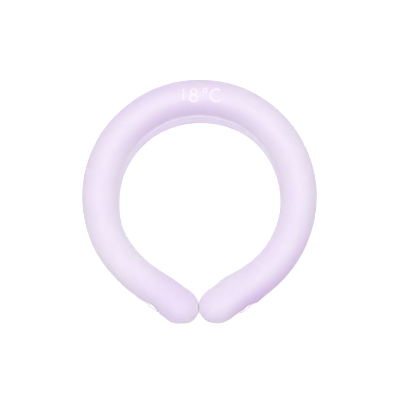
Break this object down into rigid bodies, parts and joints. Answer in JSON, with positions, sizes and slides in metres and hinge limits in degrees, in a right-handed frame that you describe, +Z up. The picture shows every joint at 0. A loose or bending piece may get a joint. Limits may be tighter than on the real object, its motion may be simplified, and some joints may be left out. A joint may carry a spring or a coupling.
{
  "type": "cooling neck ring",
  "caption": "Open cooling neck ring, a soft lavender translucent tube filled with cooling gel, lying flat with its two rounded tips meeting.",
  "frame": {"origin": "middle of the bounding box at floor height", "axes": "+Z up through the neck opening, +Y towards the nape, -Y towards the two tips, +X to the right seen from above with the nape at the top"},
  "size_m": [0.1498, 0.1558, 0.0226],
  "materials": {
    "skin": "soft translucent milky satin",
    "gel": "milky gel",
    "plug": "clear soft gloss",
    "print": "thin white ink"
  },
  "bodies": {
    "root": {"skin": "skin", "gel_filling": "gel", "port_plug_left": "plug", "port_plug_right": "plug"}
  },
  "joints": []
}
